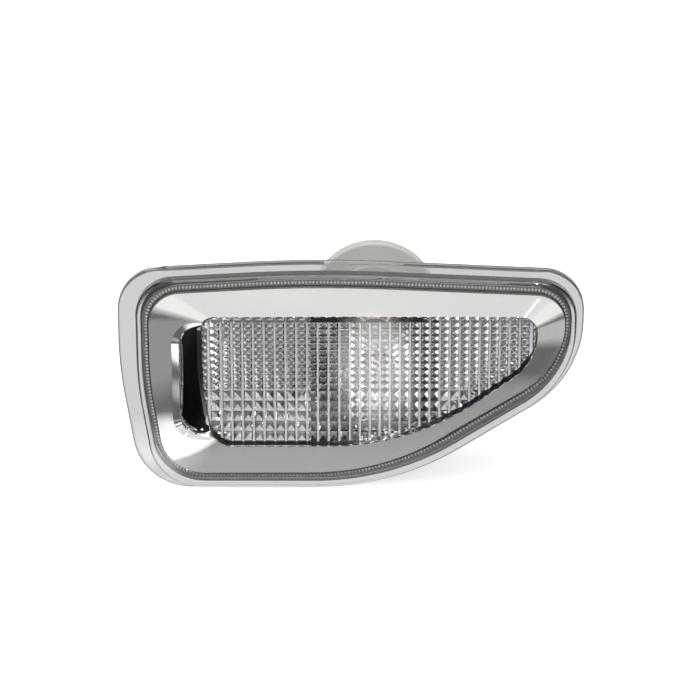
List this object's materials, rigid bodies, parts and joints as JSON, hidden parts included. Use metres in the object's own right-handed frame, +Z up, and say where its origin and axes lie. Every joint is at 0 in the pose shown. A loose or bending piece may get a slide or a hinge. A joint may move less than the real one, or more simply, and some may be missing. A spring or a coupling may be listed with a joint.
{
  "type": "side indicator lamp",
  "caption": "Clear-lens side indicator lamp with a prism optic behind its cover, metallised bezel, clip-in housing and a twist-out bulb holder at the back.",
  "frame": {"origin": "middle of the flange's back face, which lies against the body panel", "axes": "+X to the right of the lit face, the lit face looks along -Y, +Z up, +Y into the vehicle"},
  "size_m": [0.1059, 0.0596, 0.055],
  "materials": {
    "clear_cover": "polished clear acrylic",
    "clear_optic": "clear acrylic with moulded prisms",
    "metallised": "vacuum metallised plastic",
    "housing_plastic": "grey moulded plastic",
    "foam": "closed cell foam",
    "spring_steel": "passivated spring steel",
    "holder_plastic": "light grey moulded plastic",
    "seal_rubber": "moulded rubber",
    "contact": "stamped brass",
    "bulb_glass": "pale amber glass",
    "lead_wire": "nickel wire",
    "filament": "tungsten coil"
  },
  "bodies": {
    "lamp": {"outer_lens": "clear_cover", "prism_lens": "clear_optic", "reflector": "metallised", "housing": "housing_plastic", "panel_seal": "foam", "retaining_clip": "spring_steel"},
    "bulb_carrier": {"bulb_holder": "holder_plastic", "holder_seal": "seal_rubber", "feed_terminal": "contact", "earth_terminal": "contact", "bulb_glass": "bulb_glass", "bulb_leads": "lead_wire", "bulb_filament": "filament"}
  },
  "joints": [
    {"name": "holder_twist", "type": "hinge", "parent": "lamp", "child": "bulb_carrier", "pos_m": [0.0056, 0.036, 0.003], "axis": [0, 1, 0], "range_deg": [0, 45]}
  ]
}
